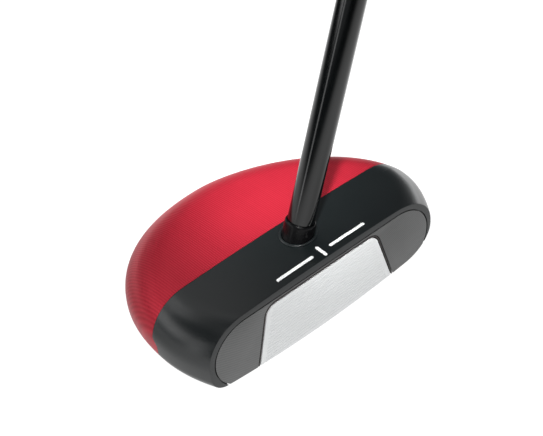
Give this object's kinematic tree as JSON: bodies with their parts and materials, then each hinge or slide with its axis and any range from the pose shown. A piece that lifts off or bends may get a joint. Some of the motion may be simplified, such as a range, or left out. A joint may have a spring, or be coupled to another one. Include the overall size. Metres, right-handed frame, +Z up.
{
  "type": "mallet putter",
  "caption": "Half-moon mallet putter head in black and red with a grooved white face insert, alignment marks, screw-in sole weights, a stepless black shaft and a rubber grip.",
  "frame": {"origin": "the point on the flat sole plate that the head rests on, under the middle of the head", "axes": "+X towards the heel, -Y the direction the face looks (the target), +Z up; the shaft leans towards the heel by 19.5 degrees"},
  "size_m": [0.3561, 0.0746, 0.8419],
  "materials": {
    "satin_black_steel": "satin black coating on steel",
    "red_anodised_aluminium": "red anodised, fine milled lines",
    "milled_grey_metal": "grey, finely milled",
    "white_urethane": "matte white, fine grooves",
    "dark_anodised_metal": "dark satin",
    "adhesive": "cured adhesive",
    "white_paint": "white paint fill",
    "gloss_black_shaft": "gloss black on steel",
    "ferrule_plastic": "gloss black",
    "grip_rubber": "matte moulded rubber",
    "grip_tape": "paper-backed tape",
    "cork": "natural",
    "bright_steel": "machined",
    "dark_weight_steel": "dark, machined"
  },
  "bodies": {
    "putter": {"alignment_dash_centre": "white_paint", "alignment_line_heel": "white_paint", "alignment_line_toe": "white_paint", "body_screw_heel": "bright_steel", "body_screw_toe": "bright_steel", "face_insert": "white_urethane", "face_plate": "milled_grey_metal", "face_plate_bond_heel": "adhesive", "face_plate_bond_toe": "adhesive", "ferrule": "ferrule_plastic", "ferrule_seat_ring": "satin_black_steel", "front_body": "satin_black_steel", "grip": "grip_rubber", "grip_cap": "grip_rubber", "grip_tape": "grip_tape", "insert_bond": "adhesive", "insert_tray": "dark_anodised_metal", "rear_shell": "red_anodised_aluminium", "shaft": "gloss_black_shaft", "shaft_bond": "adhesive", "shaft_tip_plug": "cork", "sole_plate": "dark_anodised_metal", "sole_screw_front_heel": "bright_steel", "sole_screw_front_toe": "bright_steel", "sole_screw_rear_heel": "bright_steel", "sole_screw_rear_toe": "bright_steel"},
    "toe_weight_travel": {"weight_washer_toe": "grip_rubber"},
    "toe_weight": {"sole_weight_toe": "dark_weight_steel"},
    "heel_weight_travel": {"weight_washer_heel": "grip_rubber"},
    "heel_weight": {"sole_weight_heel": "dark_weight_steel"}
  },
  "joints": [
    {"name": "toe_weight_slide", "type": "slide", "parent": "putter", "child": "toe_weight_travel", "axis": [0, 0, -1], "range_m": [0, 0.008]},
    {"name": "toe_weight_turn", "type": "hinge", "parent": "toe_weight_travel", "child": "toe_weight", "pos_m": [-0.033, 0.006, 0.0022], "axis": [0, 0, -1], "range_deg": [0, 2880]},
    {"name": "heel_weight_slide", "type": "slide", "parent": "putter", "child": "heel_weight_travel", "axis": [0, 0, -1], "range_m": [0, 0.008]},
    {"name": "heel_weight_turn", "type": "hinge", "parent": "heel_weight_travel", "child": "heel_weight", "pos_m": [0.033, 0.006, 0.0022], "axis": [0, 0, -1], "range_deg": [0, 2880]}
  ],
  "couplings": [
    {"joint": "toe_weight_slide", "follows": "toe_weight_turn", "m_per_rad": 0.00015915},
    {"joint": "heel_weight_slide", "follows": "heel_weight_turn", "m_per_rad": 0.00015915}
  ]
}
